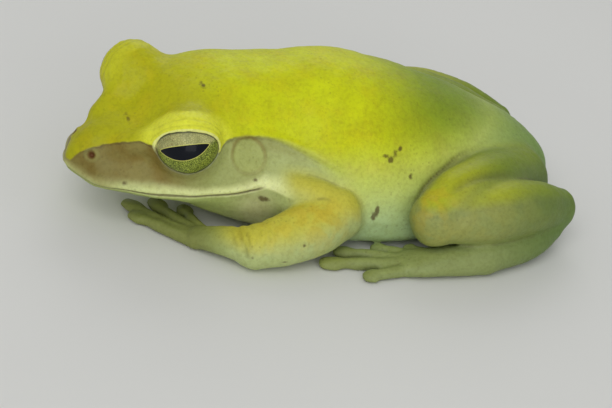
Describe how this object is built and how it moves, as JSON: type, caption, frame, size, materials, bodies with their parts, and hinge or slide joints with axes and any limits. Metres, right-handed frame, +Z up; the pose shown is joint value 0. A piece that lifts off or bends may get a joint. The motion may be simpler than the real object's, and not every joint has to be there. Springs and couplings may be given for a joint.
{
  "type": "tree frog",
  "caption": "Crouched tree frog at rest, life size: head turned slightly left, limbs folded, belly, hands and feet flat on the floor.",
  "frame": {"origin": "middle of the flat under the belly, on the floor", "axes": "+Z up; the frog faces -X, and its left side is -Y"},
  "size_m": [0.0681, 0.0422, 0.0204],
  "materials": {
    "skin_back": "moist satin skin, greenish yellow",
    "skin_throat": "moist satin skin, pale olive cream",
    "skin_limb": "moist satin skin, ochre yellow",
    "skin_digit": "moist satin skin, pale tan",
    "eye": "wet gloss, greenish gold iris with a black lens-shaped pupil"
  },
  "bodies": {
    "root": {"head": "skin_back", "lower_jaw": "skin_throat", "trunk": "skin_back", "left_eye": "eye", "left_upper_arm": "skin_limb", "left_forearm": "skin_limb", "left_palm": "skin_limb", "left_finger_1": "skin_digit", "left_finger_2": "skin_digit", "left_finger_3": "skin_digit", "left_finger_4": "skin_digit", "left_thigh": "skin_limb", "left_shank": "skin_limb", "left_tarsus": "skin_limb", "left_instep": "skin_limb", "left_toe_1": "skin_digit", "left_toe_2": "skin_digit", "left_toe_3": "skin_digit", "left_toe_4": "skin_digit", "left_toe_5": "skin_digit", "right_eye": "eye", "right_upper_arm": "skin_limb", "right_forearm": "skin_limb", "right_palm": "skin_limb", "right_finger_1": "skin_digit", "right_finger_2": "skin_digit", "right_finger_3": "skin_digit", "right_finger_4": "skin_digit", "right_thigh": "skin_limb", "right_shank": "skin_limb", "right_tarsus": "skin_limb", "right_instep": "skin_limb", "right_toe_1": "skin_digit", "right_toe_2": "skin_digit", "right_toe_3": "skin_digit", "right_toe_4": "skin_digit", "right_toe_5": "skin_digit"}
  },
  "joints": []
}
